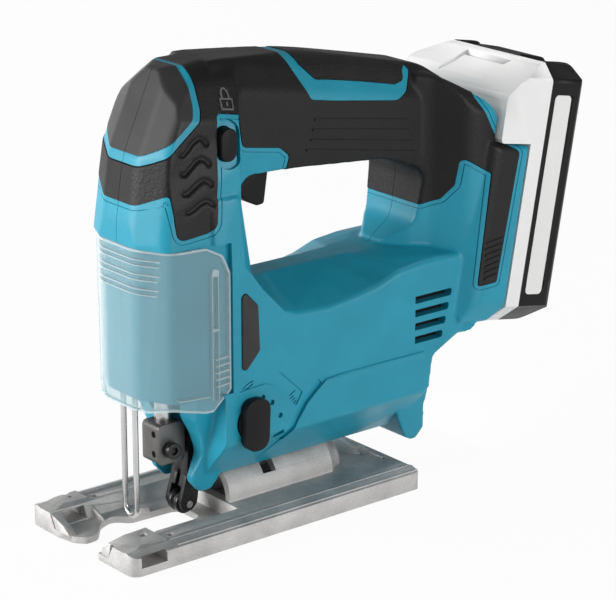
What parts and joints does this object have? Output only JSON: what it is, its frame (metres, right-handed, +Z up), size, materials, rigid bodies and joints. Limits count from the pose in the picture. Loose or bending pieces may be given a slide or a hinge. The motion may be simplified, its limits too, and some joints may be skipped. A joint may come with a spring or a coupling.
{
  "type": "cordless jigsaw",
  "caption": "Cordless jigsaw with closed handle, tilting cast sole, sliding clear dust cover, orbital lever and slide-on battery.",
  "frame": {"origin": "centre of the sole's underside", "axes": "+X from the blade end to the battery, +Y to the side away from the orbital lever, +Z up from the sole"},
  "size_m": [0.254, 0.077, 0.2042],
  "materials": {
    "housing_plastic": "fine spark-eroded moulding",
    "rubber": "soft overmould",
    "black_plastic": "moulded",
    "pale_plastic": "satin moulding",
    "clear_plastic": "clear polycarbonate",
    "cast_aluminium": "cast, bead blasted",
    "steel": "ground",
    "dark_steel": "blackened",
    "brass": "turned",
    "board": "laminate",
    "cell_wrap": "shrink wrap"
  },
  "bodies": {
    "tool": {"housing_left": "housing_plastic", "housing_right": "housing_plastic", "grip_left": "rubber", "grip_right": "rubber", "nose_grip_left": "rubber", "nose_grip_right": "rubber", "side_pad_left": "rubber", "side_pad_right": "rubber", "housing_screws": "steel", "switch_body": "black_plastic", "trigger_spring": "steel", "terminal_block": "black_plastic", "gear_case": "cast_aluminium", "lower_bush": "brass", "upper_bush": "brass", "gear_bearing": "brass", "motor_can": "steel", "magnets": "dark_steel", "end_bell": "black_plastic", "brushes": "dark_steel", "front_bearing": "steel", "rear_bearing": "steel", "holder_pin": "steel", "guard_wire": "steel", "base_cradle": "cast_aluminium", "bevel_plate": "steel", "bevel_bolt": "dark_steel"},
    "base": {"base_plate": "cast_aluminium"},
    "cover": {"dust_cover": "clear_plastic"},
    "reciprocator": {"plunger": "steel", "blade_clamp": "steel", "clamp_screw": "dark_steel"},
    "holder": {"roller_holder": "dark_steel", "roller_pin": "steel"},
    "blade_roller": {"guide_roller": "steel"},
    "lever": {"orbital_lever": "black_plastic", "orbital_cam": "steel"},
    "trigger_key": {"trigger": "black_plastic", "switch_plunger": "black_plastic"},
    "lock_button": {"lock_off_button": "black_plastic"},
    "drive": {"drive_gear": "steel", "crank_roller": "steel", "gear_axle": "steel"},
    "rotor": {"armature": "dark_steel", "commutator": "brass", "motor_shaft": "steel", "pinion": "steel", "fan": "black_plastic"},
    "battery": {"battery_rail_case": "pale_plastic", "battery_shell": "black_plastic", "battery_label": "pale_plastic", "cell_holder": "black_plastic", "battery_cells": "cell_wrap", "battery_board": "board", "battery_terminals": "brass", "latch_spring": "steel"},
    "latch": {"latch_button": "black_plastic"}
  },
  "joints": [
    {"name": "base_bevel", "type": "hinge", "parent": "tool", "child": "base", "pos_m": [0.017, 0, 0.0093], "axis": [1, 0, 0], "range_deg": [-45, 45]},
    {"name": "dust_cover_slide", "type": "slide", "parent": "tool", "child": "cover", "axis": [0, 0, -1], "range_m": [0, 0.02]},
    {"name": "plunger_stroke", "type": "slide", "parent": "tool", "child": "reciprocator", "axis": [0, 0, 1], "range_m": [-0.009, 0.009]},
    {"name": "roller_holder_swing", "type": "hinge", "parent": "tool", "child": "holder", "pos_m": [-0.021, 0, 0.038], "axis": [0, 1, 0], "range_deg": [0, 4]},
    {"name": "guide_roller_spin", "type": "hinge", "parent": "holder", "child": "blade_roller", "pos_m": [-0.0255, 0, 0.009], "axis": [0, 1, 0], "continuous": true},
    {"name": "orbital_lever_turn", "type": "hinge", "parent": "tool", "child": "lever", "pos_m": [-0.01, -0.03, 0.051], "axis": [0, 1, 0], "range_deg": [0, 90]},
    {"name": "trigger_pull", "type": "slide", "parent": "tool", "child": "trigger_key", "axis": [0, 0, 1], "range_m": [0, 0.005], "stiffness_N_per_m": 800, "springref_m": -0.002, "deforming": ["trigger_spring"]},
    {"name": "lock_button_push", "type": "slide", "parent": "tool", "child": "lock_button", "axis": [0, 1, 0], "range_m": [0, 0.004]},
    {"name": "drive_gear_spin", "type": "hinge", "parent": "tool", "child": "drive", "pos_m": [-0.013, 0, 0.095], "axis": [1, 0, 0], "continuous": true},
    {"name": "rotor_spin", "type": "hinge", "parent": "tool", "child": "rotor", "pos_m": [0.042, 0, 0.073], "axis": [1, 0, 0], "continuous": true},
    {"name": "battery_slide", "type": "slide", "parent": "tool", "child": "battery", "axis": [0.1736, 0, 0.9848], "range_m": [0, 0.078]},
    {"name": "latch_press", "type": "slide", "parent": "battery", "child": "latch", "axis": [-0.1736, 0, -0.9848], "range_m": [0, 0.003], "stiffness_N_per_m": 800, "springref_m": -0.002, "deforming": ["latch_spring"]}
  ],
  "couplings": [
    {"joint": "rotor_spin", "follows": "drive_gear_spin", "ratio": -5.1111}
  ]
}
